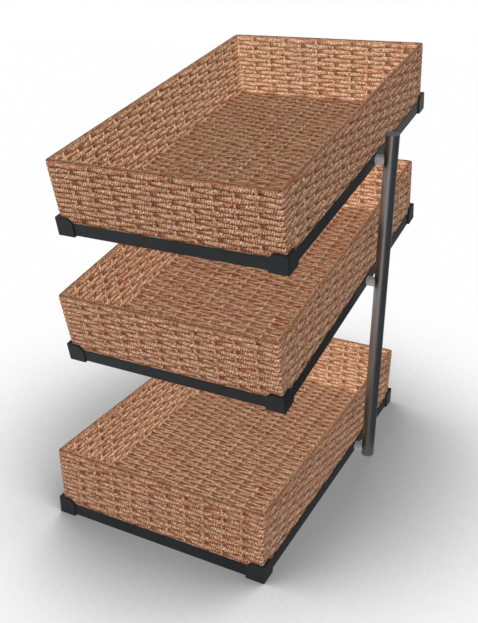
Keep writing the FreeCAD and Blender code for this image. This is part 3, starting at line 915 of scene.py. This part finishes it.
class STAND_OT_plate_fittings(bpy.types.Operator):
    """Plates the spacers, pivot screws, thread inserts and corner screws"""

    bl_idname = "stand.plate_fittings"
    bl_label = "Plate fittings"

    def execute(self, context):
        metals = context.scene.basket_metals
        # Polishing marks 0.2 mm wide run round the spacers, across the line from post to post.
        round_spacer = (1.0, 0.15, 0.15)
        chrome = drawn_steel(
            "satin chrome plate", metals.chrome, (0.22, 0.34), 0.2 * MM, round_spacer, metallic=0.5
        )
        # Zinc crystals 1 mm across show no direction.
        zinc = drawn_steel("zinc plated steel", metals.zinc, (0.28, 0.46), 1.0 * MM, (1.0, 1.0, 1.0))
        for tier in TIERS:
            dress(f"{tier}_corner_screws", zinc)
            for side in SIDES:
                dress(f"{tier}_{side}_spacer", chrome)
                dress(f"{tier}_{side}_pivot_screw", zinc)
                dress(f"{tier}_{side}_thread_insert", zinc)
        return {"FINISHED"}


def camera_matrix(stage):
    """The camera's place and turn: its right axis is level, and it looks down by the elevation."""
    az, el = stage.azimuth, stage.elevation
    right = np.array([math.cos(az), math.sin(az), 0.0])
    back = np.array([math.sin(az) * math.cos(el), -math.cos(az) * math.cos(el), math.sin(el)])
    matrix = np.eye(4)
    matrix[:3, 0] = right
    matrix[:3, 1] = np.cross(back, right)
    matrix[:3, 2] = back
    matrix[:3, 3] = stage.camera_place
    return Matrix(matrix.tolist())


def seen_directly(tree):
    """A socket that is 1 for rays from the camera, a reflection or through glass."""
    path = add_node(tree, "ShaderNodeLightPath").outputs
    seen = path["Is Camera Ray"]
    for kind in ("Is Glossy Ray", "Is Transmission Ray"):
        either = add_node(tree, "ShaderNodeMath", {0: seen, 1: path[kind]}, operation="MAXIMUM")
        seen = either.outputs["Value"]
    return seen


def studio_floor(colour):
    """Matt studio paper, 2 mm fibres: painted soft grey shadow close under the object, plain white further
    off.
    """
    material, tree, shader = start_material("matt studio paper")
    shader.inputs["Roughness"].default_value = 0.9
    shader.inputs["Specular IOR Level"].default_value = 0.1
    place = add_node(tree, "ShaderNodeTexCoord").outputs["Object"]
    fibre = add_node(tree, "ShaderNodeTexNoise", {"Vector": place, "Scale": 1 / (2 * MM), "Detail": 2.0})
    paper = add_node(
        tree,
        "ShaderNodeValToRGB",
        {"Fac": fibre.outputs["Fac"]},
        stops=shades(colour, 0.99, 1.0, (0.2, 0.8)),
    ).outputs["Color"]
    tree.links.new(paper, shader.inputs["Base Color"])
    # Seen directly, the floor glows as light as the open share of the space above it allows: a painted
    # shadow.
    openness = add_node(tree, "ShaderNodeAmbientOcclusion", {"Distance": SHADE_REACH}, samples=20)
    shade = add_node(
        tree,
        "ShaderNodeValToRGB",
        {"Fac": openness.outputs["AO"]},
        stops=[(open_share, grey(light)) for open_share, light in SHADE_STEPS],
    )
    shown = add_node(tree, "ShaderNodeEmission", {"Color": paper, "Strength": shade.outputs["Color"]})
    blended = add_node(
        tree,
        "ShaderNodeMixShader",
        {0: seen_directly(tree), 1: shader.outputs["BSDF"], 2: shown.outputs["Emission"]},
    )
    output = next(node for node in tree.nodes if node.type == "OUTPUT_MATERIAL")
    tree.links.new(blended.outputs["Shader"], output.inputs["Surface"])
    return material


def dim_glow(colour):
    """A dim glow on a card: an even dark tone with a faint mottle, 10 mm across, the same from every side.
    """
    material, tree, shader = start_material("dim glowing card")
    place = add_node(tree, "ShaderNodeTexCoord").outputs["Object"]
    mottle = add_node(tree, "ShaderNodeTexNoise", {"Vector": place, "Scale": 1 / (10 * MM), "Detail": 2.0})
    tone = add_node(
        tree, "ShaderNodeValToRGB", {"Fac": mottle.outputs["Fac"]}, stops=shades(colour, 0.9, 1.1)
    )
    # The card's colour comes from its glow, not from light: a painted dark reflection.
    shader.inputs["Base Color"].default_value = grey(0.0)
    shader.inputs["Specular IOR Level"].default_value = 0.0
    shader.inputs["Emission Strength"].default_value = 1.0
    tree.links.new(tone.outputs["Color"], shader.inputs["Emission Color"])
    return material


def stage_panels(name, corners, material):
    """Flat four sided panels that belong to the stage, from an array of panel, corner, coordinate."""
    mesh = bpy.data.meshes.new(name)
    mesh.from_pydata(corners.reshape(-1, 3), [], np.arange(corners.size // 3).reshape(-1, 4).tolist())
    mesh.materials.append(material)
    piece = bpy.data.objects.new(name, mesh)
    bpy.context.scene.collection.objects.link(piece)
    return piece


def sun_lamp(name, strength, direction):
    """A shadowless sun lamp that shines from a direction, and that reflections don't show."""
    lamp = bpy.data.lights.new(name, "SUN")
    lamp.energy = strength
    lamp.use_shadow = False
    holder = bpy.data.objects.new(name, lamp)
    holder.visible_glossy = False
    holder.rotation_euler = Vector(direction).to_track_quat("Z", "Y").to_euler()
    bpy.context.scene.collection.objects.link(holder)
    return lamp


class STAND_OT_set_stage(bpy.types.Operator):
    """Sets the floor, the lamps and the camera"""

    bl_idname = "stand.set_stage"
    bl_label = "Set stage"

    def execute(self, context):
        scene, stage = context.scene, context.scene.basket_stage
        scene.view_settings.view_transform = "Standard"

        square = np.array([[-1.0, -1.0], [1.0, -1.0], [1.0, 1.0], [-1.0, 1.0]]) * FLOOR_REACH
        ground = np.column_stack([square, np.full(4, -FLOOR_DROP)])
        stage_panels("studio_floor", ground[None], studio_floor(stage.floor))

        # Only reflections show the card, which glows dimly: a painted dark reflection on posts and rails.
        start, end, rise = CARD_PANELS.transpose(1, 0, 2)
        panels = np.stack([end, start, start + rise, end + rise], 1)
        card = stage_panels("dark_card", panels, dim_glow(stage.card))
        card.visible_camera = False
        card.visible_diffuse = False
        card.visible_shadow = False

        world = bpy.data.worlds.new("studio white")
        world.use_nodes = True
        tree = world.node_tree
        tree.nodes.clear()
        light = add_node(tree, "ShaderNodeBackground", {"Color": grey(1.0), "Strength": stage.sky})
        white = add_node(tree, "ShaderNodeBackground", {"Color": grey(1.0), "Strength": 1.0})
        both = add_node(
            tree,
            "ShaderNodeMixShader",
            {0: seen_directly(tree), 1: light.outputs["Background"], 2: white.outputs["Background"]},
        )
        add_node(tree, "ShaderNodeOutputWorld", {"Surface": both.outputs["Shader"]})
        scene.world = world

        sun_lamp("front_fill", stage.fill, stage.fill_from)
        sun_lamp("side_fill", stage.side, stage.side_from)
        back = sun_lamp("back_light", stage.back, stage.back_from)
        back.color = stage.back_colour[:3]

        lens = bpy.data.cameras.new("picture_camera")
        width, height = stage.picture_size
        longest = max(width, height)
        lens.lens = stage.focal_pixels * lens.sensor_width / longest
        lens.shift_x = (width / 2 - stage.picture_axis[0]) / longest
        lens.shift_y = (stage.picture_axis[1] - height / 2) / longest
        camera = bpy.data.objects.new("picture_camera", lens)
        camera.matrix_world = camera_matrix(stage)
        scene.collection.objects.link(camera)
        scene.camera = camera
        return {"FINISHED"}


GROUPS = {
    "basket_weave": WeaveSizes,
    "basket_colours": WickerColours,
    "basket_metals": MetalColours,
    "basket_stage": StageSettings,
}
OPERATORS = (
    STAND_OT_coat_trays,
    STAND_OT_finish_posts,
    STAND_OT_plate_fittings,
    STAND_OT_weave_walls,
    STAND_OT_set_stakes,
    STAND_OT_weave_floors,
    STAND_OT_bind_rims,
    STAND_OT_set_stage,
)


class STAND_PT_panel(bpy.types.Panel):
    """Lists the steps that dress the stand, and their settings"""

    bl_idname = "STAND_PT_panel"
    bl_label = "Basket Stand"
    bl_space_type = "VIEW_3D"
    bl_region_type = "UI"
    bl_category = "Basket Stand"

    def draw(self, context):
        for step in OPERATORS:
            self.layout.operator(step.bl_idname)
        for group in GROUPS:
            settings = getattr(context.scene, group)
            box = self.layout.box()
            for name in settings.bl_rna.properties.keys():
                if name not in ("rna_type", "name"):
                    box.prop(settings, name)


def register():
    """Registers the settings, the steps and the panel."""
    for group, settings in GROUPS.items():
        bpy.utils.register_class(settings)
        setattr(bpy.types.Scene, group, PointerProperty(type=settings))
    for step in (*OPERATORS, STAND_PT_panel):
        bpy.utils.register_class(step)


def unregister():
    """Takes the panel, the steps and the settings away again."""
    for step in (STAND_PT_panel, *reversed(OPERATORS)):
        bpy.utils.unregister_class(step)
    for group, settings in GROUPS.items():
        delattr(bpy.types.Scene, group)
        bpy.utils.unregister_class(settings)


def main():
    """Dresses the stand step by step."""
    register()
    bpy.ops.stand.coat_trays()
    bpy.ops.stand.finish_posts()
    bpy.ops.stand.plate_fittings()
    bpy.ops.stand.weave_walls()
    bpy.ops.stand.set_stakes()
    bpy.ops.stand.weave_floors()
    bpy.ops.stand.bind_rims()
    bpy.ops.stand.set_stage()


if __name__ == "__main__":
    main()
